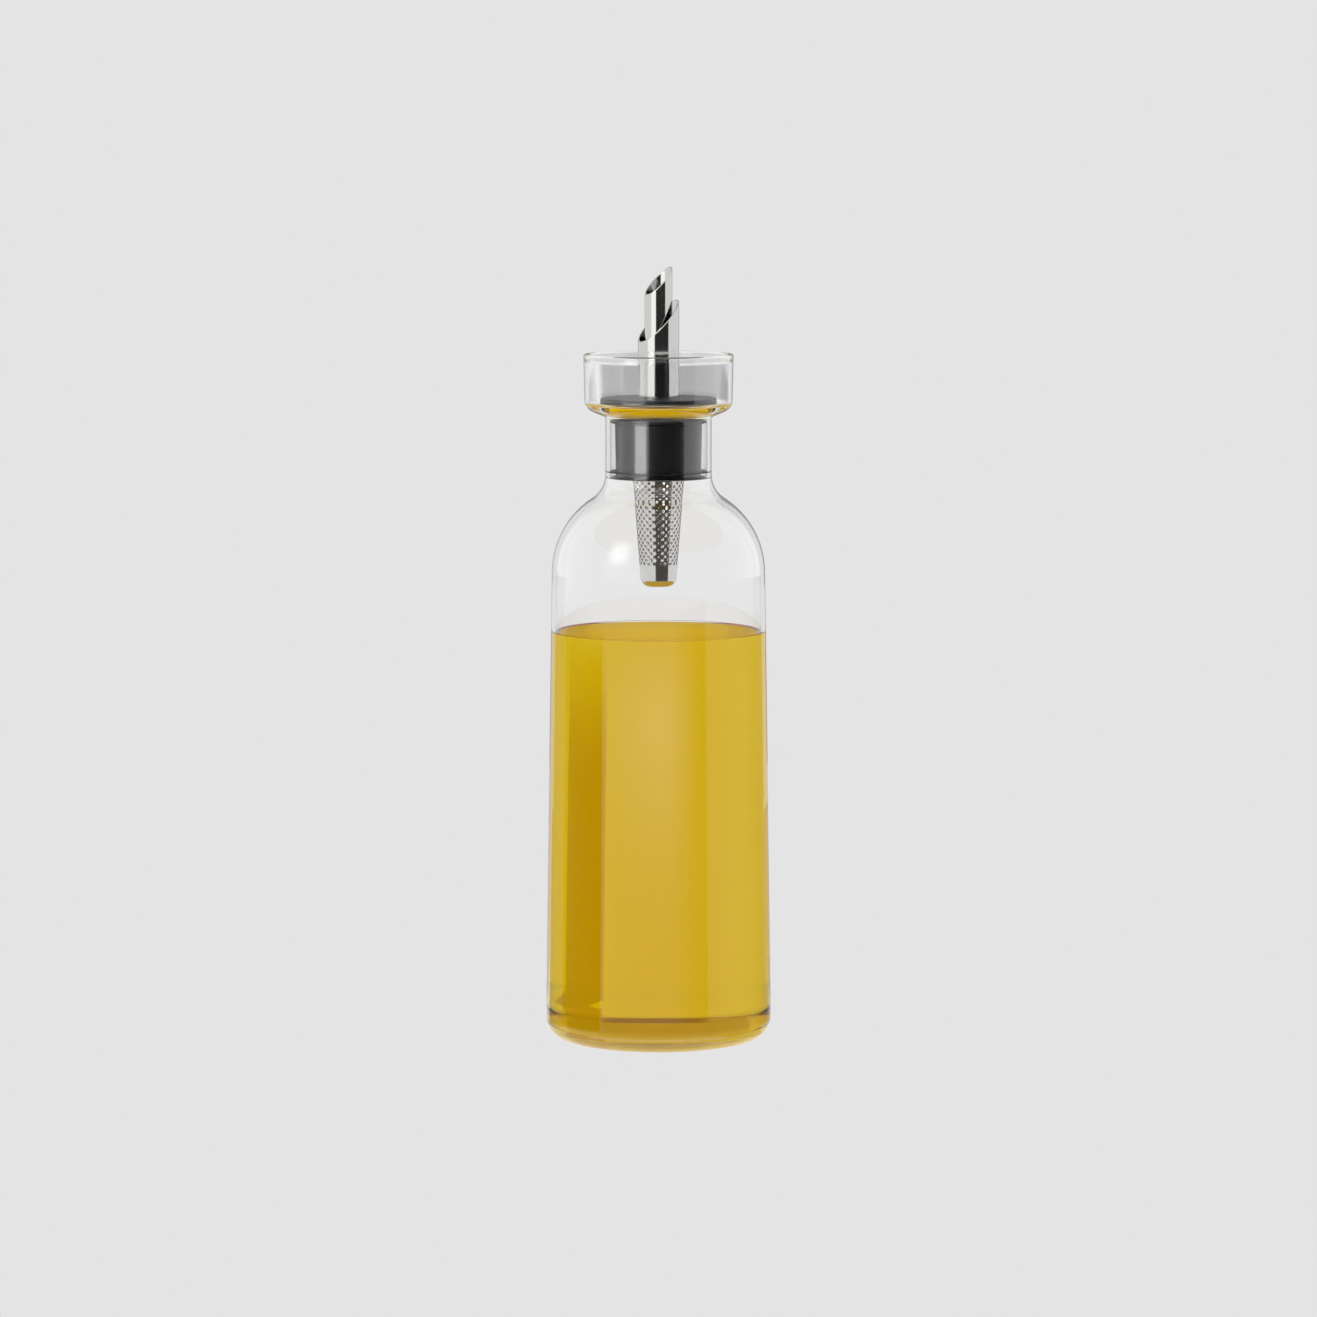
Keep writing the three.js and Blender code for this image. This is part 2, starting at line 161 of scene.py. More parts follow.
class StopperSizes(bpy.types.PropertyGroup):
    flange_radius: length("Flange radius", STOPPER_HIGH.x, "Radius of the flange on the cup's floor")
    flange: mm("Flange", 1.8, "Thickness of the flange")
    flange_round: mm("Flange rounding", 0.7, "Rounding of the flange's edge")
    top: length("Top", STOPPER_HIGH.z, "Height of the flange's upper face")
    end: length("End", STOPPER_LOW.z, "Height of the plug's lower end")
    plug_radius: mm("Plug radius", 14.2, "Radius of the plug")
    plug_draft: mm("Plug draft", 0.3, "How much narrower the plug gets towards its end")
    lip_radius: mm("Lip radius", 15.8, "Radius of the upper lip")
    lip_drop: mm("Lip drop", 3.5, "From the flange's underside to the upper lip")
    lip_height: mm("Lip height", 3.2, "Height of the upper lip")
    lip_chamfer: mm("Lip chamfer", 0.6, "Slope at both ends of the upper lip")
    lamellae: IntProperty(name="Lamellae", description="Number of thin lower lips", default=2)
    lamella_press: mm("Lamella press", 0.06, "How far a thin lip presses into the bore's wall")
    lamella_step: mm("Lamella step", 2.0, "From one thin lip to the next")
    lamella_root: mm("Lamella root", 0.8, "Thickness of a thin lip at its root")
    lamella_edge: mm("Lamella edge", 0.4, "Thickness of a thin lip at its edge")
    bore: mm("Bore", 6.9, "Radius of the bore that the sleeve turns in")
    socket_radius: mm("Socket radius", 8.6, "Radius of the socket for the foot and the strainer")
    socket_depth: mm("Socket depth", 8.5, "Depth of the socket above the plug's end")
    tint: colour("Silicone colour", (0.012, 0.0124, 0.013), "Colour of the silicone")


class SpoutSizes(bpy.types.PropertyGroup):
    low: length("Low end", SLEEVE_LOW.z, "Height where both tubes start")
    sleeve_radius: mm("Sleeve radius", 6.7, "Outer radius of the drip sleeve")
    sleeve_tip: length("Sleeve tip", SLEEVE_HIGH.z, "Height of the sleeve's high tip")
    foot_radius: length("Foot radius", SLEEVE_HIGH.x, "Radius of the sleeve's turned-out foot")
    foot: mm("Foot", 0.8, "Thickness of the foot")
    tube_radius: length("Tube radius", TUBE_HIGH.x, "Outer radius of the pouring tube")
    tube_tip: length("Tube tip", TUBE_HIGH.z, "Height of the pouring tube's high tip")
    wall: mm("Wall", 0.5, "Thickness of both tubes")
    edge: mm("Edge rounding", 0.14, "Rounding of the polished edges")
    cut: angle("Cut", 46.0, "Slope of the slant cut")
    spacer_gap: mm("Spacer gap", 0.15, "Clearance of a centring ring on both tubes")
    spacer_ring: mm("Spacer ring", 0.5, "Thickness of a centring ring between its feet")
    spacer_feet: IntProperty(name="Spacer feet", description="Feet of a centring ring", default=3)
    spacer_spread: angle("Spacer foot spread", 36.0, "Angle that a foot of a centring ring takes up")
    tint: colour("Steel colour", (0.56, 0.555, 0.54), "Colour of the polished steel")


class StrainerSizes(bpy.types.PropertyGroup):
    radius: length("Collar radius", STRAINER_HIGH.x, "Radius of the collar and of the cone's top")
    top: length("Top", STRAINER_HIGH.z, "Height of the collar's top")
    end: length("End", STRAINER_LOW.z, "Height of the closed end")
    wall: mm("Wall", 0.4, "Thickness of the sheet")
    cone_taper: mm("Cone taper", 2.55, "How much narrower the cone is at its end")
    end_corner: mm("End corner", 2.7, "Rounding from the cone to the closed end")
    plain_band: mm("Plain band", 3.9, "Height of the band without holes above the rounding")
    columns: IntProperty(name="Columns", description="Holes round one row", default=21)
    rows: IntProperty(name="Rows", description="Rows of holes", default=24)
    hole: mm("Hole radius", 0.56, "Radius of a hole")


class StageSettings(bpy.types.PropertyGroup):
    azimuth: angle("Camera azimuth", -25.0, "Turn of the camera round the bottle")
    distance: length("Camera distance", 1.786, "Level distance of the camera from the bottle's axis")
    height: length("Camera height", 0.314, "Height of the camera")
    aim: mm("Aim", 125.07, "Height on the axis that the camera looks at")
    lens: FloatProperty(name="Lens", description="Focal length", default=150.14, subtype="DISTANCE_CAMERA")
    backdrop: colour("Backdrop", (0.7758, 0.7758, 0.7758), "Pale tone of the floor and the surroundings")
    mirrored: amount("Mirrored room", 1.1, "Brightness of the pale room as reflections see it")
    softbox: amount("Softbox", 6.5, "Brightness of the tall softbox")
    strip: amount("Strip light", 5.5, "Brightness of the strip light beside the neck")
    white_card: amount("White card", 1.6, "Brightness of the white card beside the camera")


# Outlines and meshes


def point(radius, height):
    return Vector((radius, height))


def arc(middle, radius, start, end, step=ARC_STEP):
    """Points of a round stretch; an angle of 0 points outwards and a quarter turn points up."""
    steps = max(ARC_LEAST, math.ceil(abs(end - start) / step))
    turns = [start + (end - start) * i / steps for i in range(steps + 1)]
    return [middle + radius * Vector((math.cos(a), math.sin(a))) for a in turns]


def outline(*stretches):
    """Joins stretches by straight lines, and holds each longer line flat with a point near both its ends."""
    points = list(stretches[0])
    for stretch in stretches[1:]:
        run = stretch[0] - points[-1]
        if run.length < SAME_POINT:
            points.pop()
        elif run.length > HELD_LEAST:
            hold = run.normalized() * HOLD
            points += [points[-1] + hold, stretch[0] - hold]
        points += stretch
    return points


def rounded(corners):
    """A closed outline through corners of (radius, height, rounding)."""
    stretches = []
    for i, (radius, height, rounding) in enumerate(corners):
        here = point(radius, height)
        back = (point(*corners[i - 1][:2]) - here).normalized()
        onward = (point(*corners[(i + 1) % len(corners)][:2]) - here).normalized()
        half = back.angle(onward) / 2
        middle = here + (back + onward).normalized() * (rounding / math.sin(half))
        reach = rounding / math.tan(half)
        start = here + back * reach - middle
        end = here + onward * reach - middle
        first = math.atan2(start.y, start.x)
        sweep = (math.atan2(end.y, end.x) - first + math.pi) % TURN - math.pi
        stretches.append(arc(middle, rounding, first, first + sweep, EDGE_STEP))
    return outline(*stretches, stretches[0][:1])[:-1]


def lathe(profile, sides, closed=False):
    """Turns an outline about Z. It runs with the solid on its left."""
    shape = bmesh.new()
    rings = []
    for radius, height in profile:
        count = 1 if radius < SAME_POINT else sides
        turns = [TURN * i / sides for i in range(count)]
        rings.append([shape.verts.new((radius * math.cos(a), radius * math.sin(a), height)) for a in turns])
    following = rings[1:] + (rings[:1] if closed else [])
    for here, after in zip(rings, following):
        for k in range(sides):
            n = k + 1
            corners = [here[k % len(here)], here[n % len(here)], after[n % len(after)], after[k % len(after)]]
            face = shape.faces.new(list(dict.fromkeys(corners)))
            face.smooth = True
    return shape


def slanted(shape, foot, rise, slope):
    """Leans the upper part of a tube over, evenly from foot to rise, so that its edge is cut on the slant."""
    for vert in shape.verts:
        share = max(0, (vert.co.z - foot) / (rise - foot))
        vert.co.z += share * slope * vert.co.x
    return shape


def new_object(name, shape, finish):
    """Makes an object of a mesh, with its finish."""
    mesh = bpy.data.meshes.new(name)
    shape.to_mesh(mesh)
    shape.free()
    mesh.materials.append(finish)
    made = bpy.data.objects.new(name, mesh)
    bpy.context.scene.collection.objects.link(made)
    return made


def piece(name, shape, finish, body, stands_for=()):
    """Makes a piece of the dispenser on its body, in place of the solids that it stands for."""
    made = new_object(name, shape, finish)
    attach(made, body)
    if stands_for:
        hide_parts(*stands_for)
    return made


# Finishes


class Value:
    """A shader value: sums on it add Math nodes to its finish."""

    def __init__(self, finish, socket):
        self.finish = finish
        self.socket = socket

    def _math(self, operation, first, second):
        return self.finish.node("ShaderNodeMath", {"operation": operation}, {0: first, 1: second})

    def __add__(self, other):
        return self._math("ADD", self, other)

    __radd__ = __add__

    def __sub__(self, other):
        return self._math("SUBTRACT", self, other)

    def __rsub__(self, other):
        return self._math("SUBTRACT", other, self)

    def __mul__(self, other):
        return self._math("MULTIPLY", self, other)

    __rmul__ = __mul__

    def __lt__(self, other):
        return self._math("LESS_THAN", self, other)

    def __gt__(self, other):
        return self._math("GREATER_THAN", self, other)


class Finish:
    """A material in the making, with one method that adds any node."""

    def __init__(self, name):
        self.material = bpy.data.materials.new(name)
        self.material.use_nodes = True
        self.tree = self.material.node_tree
        self.tree.nodes.clear()

    def node(self, kind, settings=None, sockets=None, output=0):
        """Adds a node with its settings, then sets or links its sockets, and gives one of its outputs."""
        made = self.tree.nodes.new(kind)
        for name, setting in (settings or {}).items():
            setattr(made, name, setting)
        for key, value in (sockets or {}).items():
            if isinstance(value, Value):
                self.tree.links.new(value.socket, made.inputs[key])
            else:
                made.inputs[key].default_value = value
        return Value(self, made.outputs[output]) if made.outputs else made

    def place(self):
        """Where a point is on the piece, in metres."""
        return self.node("ShaderNodeTexCoord", output="Object")

    def vector(self, operation, first, second, output=0):
        return self.node("ShaderNodeVectorMath", {"operation": operation}, {0: first, 1: second}, output)

    def stretched(self, x, y, z):
        """The place with each axis scaled."""
        return self.vector("MULTIPLY", self.place(), (x, y, z))

    def outward(self, middle):
        """Above 0 where the surface faces away from a point inside the piece, seen from either side of it."""
        normal = self.node("ShaderNodeTexCoord", output="Normal")
        behind = self.node("ShaderNodeNewGeometry", output="Backfacing")
        away = self.vector("SUBTRACT", self.place(), middle)
        return self.vector("DOT_PRODUCT", normal, away, output="Value") * (1 - 2 * behind)

    def noise(self, place, scale, detail=2.0):
        """Cloudy value from 0 to 1; scale is in patches per metre."""
        sockets = {"Vector": place, "Scale": scale, "Detail": detail}
        return self.node("ShaderNodeTexNoise", None, sockets)

    def mixed(self, share, first, second):
        """A colour between two colours."""
        sockets = {0: share, 6: (*first, 1), 7: (*second, 1)}
        return self.node("ShaderNodeMix", {"data_type": "RGBA"}, sockets, output=2)

    def fade(self, value, start, end):
        """Rises softly from 0 to 1 while the value goes from start to end."""
        sockets = {"Value": value, "From Min": start, "From Max": end}
        return self.node("ShaderNodeMapRange", {"interpolation_type": "SMOOTHSTEP"}, sockets)

    def part(self, vector, axis):
        """One number of a vector."""
        return self.node("ShaderNodeSeparateXYZ", None, {0: vector}, output=axis)

    def bump(self, height, strength, distance):
        sockets = {"Height": height, "Strength": strength, "Distance": distance}
        return self.node("ShaderNodeBump", None, sockets)

    def path(self, output):
        """What is known of the light's path."""
        return self.node("ShaderNodeLightPath", output=output)

    def counted(self, output, least, most=math.inf):
        """1 where a whole number of the light's path lies from least to most."""
        count = self.path(output)
        enough = count > least - 0.5
        return enough if most == math.inf else enough * (count < most + 0.5)

    def tinted(self, sizes):
        """A clear inside that takes its colour with its thickness."""
        sockets = {"Color": (*sizes.tint, 1), "Density": sizes.tint_density}
        return self.node("ShaderNodeVolumeAbsorption", None, sockets)

    def finished(self, surface, volume=None):
        sockets = {"Surface": surface}
        if volume:
            sockets["Volume"] = volume
        self.node("ShaderNodeOutputMaterial", None, sockets)
        return self.material


WHITE = (1, 1, 1, 1)
NO_TINT = (0, 0, 0, 1)

GLASS_INDEX = 1.47
QUIET_INDEX = 1.02
SILICONE_INDEX = 1.43

# Patches of each noise, per metre
GLASS_WAVES = 45.0
SILICONE_CLOUDS = 160.0
SILICONE_GRAIN = 9000.0
STEEL_LINES = 5200.0
STEEL_PATCHES = 140.0

# How the making of a piece stretches its noise along X, Y and Z; less is longer
BLOWN_UPWARDS = (1.0, 1.0, 0.35)
DRAWN_LENGTHWISE = (1.0, 1.0, 0.02)
PRESSED_ROUND = (0.1, 0.1, 1.0)

# Brightness of a patch, as a share of the colour that it lies in
SILICONE_CLOUD_TONE = 1.45
STEEL_PATCH_TONE = 0.93


def clear_glass(sizes, wetted_height):
    """Blown glass: slow waves in its skin, a faint tint where it is thick, and no gleam where oil wets it."""
    finish = Finish("clear_glass")
    waves = finish.noise(finish.stretched(*BLOWN_UPWARDS), GLASS_WAVES, detail=1.0)
    sockets = {
        "Base Color": WHITE,
        "Roughness": 0.0,
        "IOR": GLASS_INDEX,
        "Transmission Weight": 1.0,
        "Normal": finish.bump(waves, strength=0.15, distance=0.1 * MM),
    }
    dry = finish.node("ShaderNodeBsdfPrincipled", None, sockets)
    wet = finish.node("ShaderNodeBsdfPrincipled", None, {**sockets, "Specular Tint": NO_TINT})
    inner = finish.outward((0, 0, wetted_height / 2)) < 0
    wetted = inner * (finish.part(finish.place(), "Z") < wetted_height)
    surface = finish.node("ShaderNodeMixShader", None, {0: wetted, 1: dry, 2: wet})
    return finish.finished(surface, finish.tinted(sizes))


def golden_painted_glow(finish, sizes, light):
    """The soft golden look of oil: a diffuse golden skin with a painted glow, an emission in its colour that
    stands in for the light that the oil gathers within.
    """
    golden = (*sizes.surface, 1)
    sockets = {
        "Base Color": golden,
        "Roughness": 0.6,
        "Specular IOR Level": 0.0,
        # Painted glow: emission in the golden colour, though the oil is no lamp
        "Emission Color": golden,
        "Emission Strength": light,
    }
    return finish.node("ShaderNodeBsdfPrincipled", None, sockets)


# Upward part of the normal where the oil's level surface begins, and where it is whole
LEVEL_BEGINS = 0.97
LEVEL_WHOLE = 0.995


def golden_oil(sizes):
    """Clear oil: one with the glass at the wall and at the climbing edge, soft and golden on top, where most
    of the level surface is a diffuse golden skin with a painted glow.
    """
    finish = Finish("golden_oil")
    sockets = {"Base Color": WHITE, "Roughness": 0.0, "Transmission Weight": 1.0, "Specular Tint": NO_TINT}
    at_wall = finish.node("ShaderNodeBsdfPrincipled", None, {**sockets, "IOR": GLASS_INDEX})
    quiet = finish.node("ShaderNodeBsdfPrincipled", None, {**sockets, "IOR": QUIET_INDEX})
    # Painted glow on the oil's level surface, in place of the light that comes up through the oil
    soft = golden_painted_glow(finish, sizes, sizes.painted_surface_glow)
    on_top = finish.node("ShaderNodeMixShader", None, {0: sizes.surface_share, 1: quiet, 2: soft})
    upward = finish.part(finish.node("ShaderNodeTexCoord", output="Normal"), "Z")
    level = finish.fade(upward, LEVEL_BEGINS, LEVEL_WHOLE)
    surface = finish.node("ShaderNodeMixShader", None, {0: level, 1: at_wall, 2: on_top})
    return finish.finished(surface, finish.tinted(sizes))


def oil_film_painted_glow(sizes):
    """Oil that has run back, too thin to look clear: diffuse golden with a painted glow in place of the light
    that it gathers.
    """
    finish = Finish("oil_film_painted_glow")
    return finish.finished(golden_painted_glow(finish, sizes, sizes.painted_film_glow))


def dark_silicone(sizes):
    """Matt moulded silicone: fine grain, a little cloudy in tone and sheen."""
    finish = Finish("dark_silicone")
    clouds = finish.noise(finish.place(), SILICONE_CLOUDS, detail=3.0)
    grain = finish.noise(finish.place(), SILICONE_GRAIN)
    pale = [SILICONE_CLOUD_TONE * c for c in sizes.tint]
    sockets = {
        "Base Color": finish.mixed(clouds, sizes.tint, pale),
        "Roughness": 0.34 + clouds * 0.12,
        "IOR": SILICONE_INDEX,
        "Normal": finish.bump(grain, strength=0.12, distance=0.02 * MM),
    }
    return finish.finished(finish.node("ShaderNodeBsdfPrincipled", None, sockets))


def polished_steel(name, tint, making):
    """Polished stainless steel: fine lines from the drawing or pressing, and faint wiped patches."""
    finish = Finish(name)
    lines = finish.noise(finish.stretched(*making), STEEL_LINES)
    patches = finish.noise(finish.place(), STEEL_PATCHES)
    dull = [STEEL_PATCH_TONE * c for c in tint]
    sockets = {
        "Base Color": finish.mixed(patches, tint, dull),
        "Metallic": 1.0,
        "Roughness": 0.05 + patches * 0.05 + lines * 0.04,
        "Normal": finish.bump(lines, strength=0.05, distance=0.01 * MM),
    }
    return finish.finished(finish.node("ShaderNodeBsdfPrincipled", None, sockets))


def glow(name, tone):
    """An even glow, for the floor."""
    finish = Finish(name)
    return finish.finished(finish.node("ShaderNodeEmission", None, {"Color": (*tone, 1), "Strength": 1.0}))


CARD_WHITE = (1, 1, 1)
CARD_BLACK = (0.01, 0.01, 0.01)
CARD_WARM = (0.60, 0.49, 0.2)

# Least and most crossings of the glass on the way to the mirror that shows a card
WALLS_CROSSED = {"outside": (0, 0), "rim": (2, 2), "inside": (3, 5)}


def card_glow(name, strength, seen, soft=(0, 0), tone=CARD_WHITE, beyond=0):
    """A card's glow, shown only to a surface that is further off than beyond.

    It is seen mirrored anywhere, mirrored after so many crossings of the glass, or only straight through it.
    Soft is the share of the card's width, and of its height, over which it fades out at each edge.
    """
    finish = Finish(name)
    mirrored = finish.counted("Glossy Depth", 1)
    shown = 1 - mirrored if seen == "through" else mirrored
    if seen in WALLS_CROSSED:
        shown = shown * finish.counted("Transmission Depth", *WALLS_CROSSED[seen])
    if beyond:
        shown = shown * (finish.path("Ray Length") > beyond)
    place = finish.node("ShaderNodeTexCoord", output="UV")
    for axis, share in zip("XY", soft):
        if share:
            along = finish.part(place, axis)
            shown = shown * finish.fade(along, 0.0, share) * finish.fade(along, 1.0, 1.0 - share)
    shine = finish.node("ShaderNodeEmission", None, {"Color": (*tone, 1), "Strength": strength})
    unseen = finish.node("ShaderNodeBsdfTransparent")
    return finish.finished(finish.node("ShaderNodeMixShader", None, {0: shown, 1: unseen, 2: shine}))


# Pieces


class BottleForm:
    """Sizes of the glass that follow from the driving ones, and the outlines made with them."""

    def __init__(self, sizes):
        self.sizes = sizes
        self.shoulder_middle = point(sizes.radius - sizes.taper - sizes.shoulder, sizes.body)
        reach = sizes.shoulder + sizes.neck_fillet
        neck_middle_radius = sizes.neck_radius + sizes.neck_fillet
        self.shoulder_angle = math.acos((neck_middle_radius - self.shoulder_middle.x) / reach)
        neck_low = sizes.body + reach * math.sin(self.shoulder_angle)
        self.neck_middle = point(neck_middle_radius, neck_low)
        self.neck_top = neck_low + sizes.neck_length
        self.cup_radius = sizes.neck_radius + sizes.cup_ledge
        self.cup_foot = self.cup_radius - sizes.cup_lean
        self.secant = 1 / math.cos(sizes.cup_slope)
        self.floor_radius = self.cup_foot - sizes.wall - sizes.cup_inner_corner
        self.cup_floor = self.under_cup(self.floor_radius) + sizes.cup_floor
        self.bore = sizes.neck_radius - sizes.wall

    def under_cup(self, radius):
        return self.neck_top + (radius - self.sizes.neck_radius) * math.tan(self.sizes.cup_slope)

    def inner_radius(self, height):
        """Radius of the body's inner wall."""
        sizes = self.sizes
        low = sizes.floor + sizes.inner_corner
        return sizes.radius - sizes.wall - sizes.taper * (height - low) / (sizes.body - low)

    def outside(self):
        sizes = self.sizes
        corner_radius = sizes.radius - sizes.corner
        punt_radius = corner_radius - sizes.bearing
        punt_curve = (punt_radius**2 + sizes.punt**2) / (2 * sizes.punt)
        punt_edge = math.acos(punt_radius / punt_curve)
        fillet_radius = sizes.neck_radius + sizes.cup_fillet
        fillet_middle = point(fillet_radius, self.under_cup(fillet_radius) - sizes.cup_fillet * self.secant)
        cup_corner_radius = self.cup_foot - sizes.cup_corner
        cup_corner_middle = point(
            cup_corner_radius, self.under_cup(cup_corner_radius) + sizes.cup_corner * self.secant
        )
        return [
            arc(point(0, sizes.punt - punt_curve), punt_curve, UP, punt_edge),
            arc(point(corner_radius, sizes.corner), sizes.corner, DOWN, RIGHT),
            arc(self.shoulder_middle, sizes.shoulder, RIGHT, self.shoulder_angle),
            arc(self.neck_middle, sizes.neck_fillet, LEFT + self.shoulder_angle, LEFT),
            arc(fillet_middle, sizes.cup_fillet, LEFT, UP + sizes.cup_slope),
            arc(cup_corner_middle, sizes.cup_corner, DOWN + sizes.cup_slope, RIGHT),
        ]

    def rim(self):
        sizes = self.sizes
        middle = point(self.cup_radius - sizes.rim_round, sizes.height - sizes.rim_round)
        bead = point(self.cup_radius - sizes.wall, sizes.height - sizes.rim_bead)
        return [arc(middle, sizes.rim_round, RIGHT, LEFT), [bead]]

    def inside(self):
        """From the drip cup down to where the shoulder meets the body."""
        sizes = self.sizes
        corner_middle = point(self.floor_radius, self.cup_floor + sizes.cup_inner_corner)
        mouth_middle = point(self.bore + sizes.mouth_round, self.cup_floor - sizes.mouth_round)
        fillet = sizes.neck_fillet + sizes.wall
        return [
            arc(corner_middle, sizes.cup_inner_corner, RIGHT, DOWN),
            arc(mouth_middle, sizes.mouth_round, UP, LEFT),
            arc(self.neck_middle, fillet, LEFT, LEFT + self.shoulder_angle),
            arc(self.shoulder_middle, sizes.shoulder - sizes.wall, self.shoulder_angle, RIGHT),
        ]

    def basin(self, spread):
        """Inner corner and floor, moved into the glass by spread."""
        sizes = self.sizes
        middle = point(sizes.radius - sizes.wall - sizes.inner_corner, sizes.floor + sizes.inner_corner)
        return [
            arc(middle, sizes.inner_corner + spread, RIGHT, DOWN),
            [point(0, sizes.floor - spread)],
        ]


class DISPENSER_OT_bottle(bpy.types.Operator):
    """Make the glass bottle, one blown piece from its base to the rim of its drip cup"""

    bl_idname = "dispenser.bottle"
    bl_label = "Glass Bottle"

    def execute(self, context):
        sizes = context.scene.dispenser_bottle
        form = BottleForm(sizes)
        profile = outline(*form.outside(), *form.rim(), *form.inside(), *form.basin(0))
        shape = lathe(profile, GLASS_SIDES)
        finish = clear_glass(sizes, form.neck_middle.y)
        piece("bottle_glass", shape, finish, "bottle", ["glass_bottle"])
        return {"FINISHED"}


class DISPENSER_OT_oil(bpy.types.Operator):
    """Fill the bottle with oil that climbs at the glass, and lay a ring of it under the stopper's flange"""

    bl_idname = "dispenser.oil"
    bl_label = "Oil"

    SURFACE_STEPS = 40
    SURFACE_CROWDING = 3

    def execute(self, context):
        sizes = context.scene.dispenser_oil
        form = BottleForm(context.scene.dispenser_bottle)
        edge_height = sizes.level + sizes.creep
        edge = form.inner_radius(edge_height) + sizes.overlap
        surface = []
        for i in range(self.SURFACE_STEPS + 1):
            inward = edge * (i / self.SURFACE_STEPS) ** self.SURFACE_CROWDING
            height = sizes.level + sizes.creep * math.exp(-inward / sizes.creep_reach)
            surface.append(point(edge - inward, height))
        basin = form.basin(sizes.overlap)
        basin_up = [list(reversed(stretch)) for stretch in reversed(basin)]
        shape = lathe(outline(*basin_up, surface), GLASS_SIDES)
        piece("oil_filling", shape, golden_oil(sizes), "bottle")
        ring = self.run_back(sizes, form, context.scene.dispenser_stopper)
        piece("oil_film_painted_glow", ring, oil_film_painted_glow(sizes), "bottle")
        return {"FINISHED"}

    def run_back(self, sizes, form, stopper):
        """A ring of oil that has run back, between the stopper and the rounded mouth and floor of the cup."""
        mouth = form.sizes.mouth_round
        middle = point(form.bore + mouth, form.cup_floor - mouth)
        inner = stopper.plug_radius + sizes.film_gap
        outer = stopper.flange_radius - stopper.flange_round
        low = form.cup_floor - sizes.film_depth
        high = stopper.top - stopper.flange - sizes.film_gap
        slope = [place for place in arc(middle, mouth - sizes.overlap, LEFT, UP) if place.y > low]
        ends = [point(outer, slope[-1].y), point(outer, high), point(inner, high)]
        profile = outline([point(inner, low), point(slope[0].x, low)], slope, ends)
        return lathe(profile, GLASS_SIDES, closed=True)


class DISPENSER_OT_stopper(bpy.types.Operator):
    """Make the moulded silicone stopper with its flange, sealing lips and socket"""

    bl_idname = "dispenser.stopper"
    bl_label = "Stopper"

    SOFT_EDGE = 0.25 * MM
    FINE_EDGE = 0.12 * MM

    def execute(self, context):
        sizes = context.scene.dispenser_stopper
        soft, fine = self.SOFT_EDGE, self.FINE_EDGE
        end_radius = sizes.plug_radius - sizes.plug_draft
        under_flange = sizes.top - sizes.flange
        lip_top = under_flange - sizes.lip_drop
        lip_low = lip_top - sizes.lip_height
        lamella_radius = BottleForm(context.scene.dispenser_bottle).bore + sizes.lamella_press
        socket_roof = sizes.end + sizes.socket_depth
        corners = [(sizes.socket_radius, sizes.end, soft)]
        for i in range(sizes.lamellae):
            root = sizes.end + i * sizes.lamella_step
            middle = root + sizes.lamella_root / 2
            corners += [
                (end_radius, root, fine),
                (lamella_radius, middle - sizes.lamella_edge / 2, fine),
                (lamella_radius, middle + sizes.lamella_edge / 2, fine),
                (end_radius, root + sizes.lamella_root, fine),
            ]
        corners += [
            (sizes.plug_radius, lip_low, soft),
            (sizes.lip_radius, lip_low + sizes.lip_chamfer, soft),
            (sizes.lip_radius, lip_top - sizes.lip_chamfer, soft),
            (sizes.plug_radius, lip_top, soft),
            (sizes.plug_radius, under_flange, soft),
            (sizes.flange_radius, under_flange, sizes.flange_round),
            (sizes.flange_radius, sizes.top, sizes.flange_round),
            (sizes.bore, sizes.top, soft),
            (sizes.bore, socket_roof, soft),
            (sizes.socket_radius, socket_roof, soft),
        ]
        shape = lathe(rounded(corners), STOPPER_SIDES, closed=True)
        finish = dark_silicone(sizes)
        piece("silicone_plug", shape, finish, "stopper", ["silicone_stopper"])
        return {"FINISHED"}


class DISPENSER_OT_tubes(bpy.types.Operator):
    """Make the drip sleeve and the pouring tube, both cut on the slant"""

    bl_idname = "dispenser.tubes"
    bl_label = "Spout Tubes"

    def execute(self, context):
        sizes = context.scene.dispenser_spout
        finish = polished_steel("polished_steel_tube", sizes.tint, DRAWN_LENGTHWISE)
        foot_top = sizes.low + sizes.foot
        foot = [
            (sizes.foot_radius, sizes.low),
            (sizes.foot_radius, foot_top),
            (sizes.sleeve_radius, foot_top),
        ]
        sleeve = self.tube(sizes, sizes.sleeve_radius, sizes.sleeve_tip, foot)
        piece("spout_sleeve", sleeve, finish, "spout", ["drip_sleeve"])
        tube = self.tube(sizes, sizes.tube_radius, sizes.tube_tip, [(sizes.tube_radius, sizes.low)])
        piece("spout_tube", tube, finish, "spout", ["pour_tube"])
        return {"FINISHED"}

    def tube(self, sizes, radius, tip, foot):
        """A tube cut on the slant; foot has the (radius, height) of each outer corner at its low end."""
        slope = math.tan(sizes.cut)
        bore = radius - sizes.wall
        rise = tip - slope * radius
        places = [(bore, sizes.low), *foot, (radius, rise), (bore, rise)]
        shape = lathe(rounded([(*place, sizes.edge) for place in places]), TUBE_SIDES, closed=True)
        straight_to = foot[-1][1]
        return slanted(shape, straight_to, rise, slope)


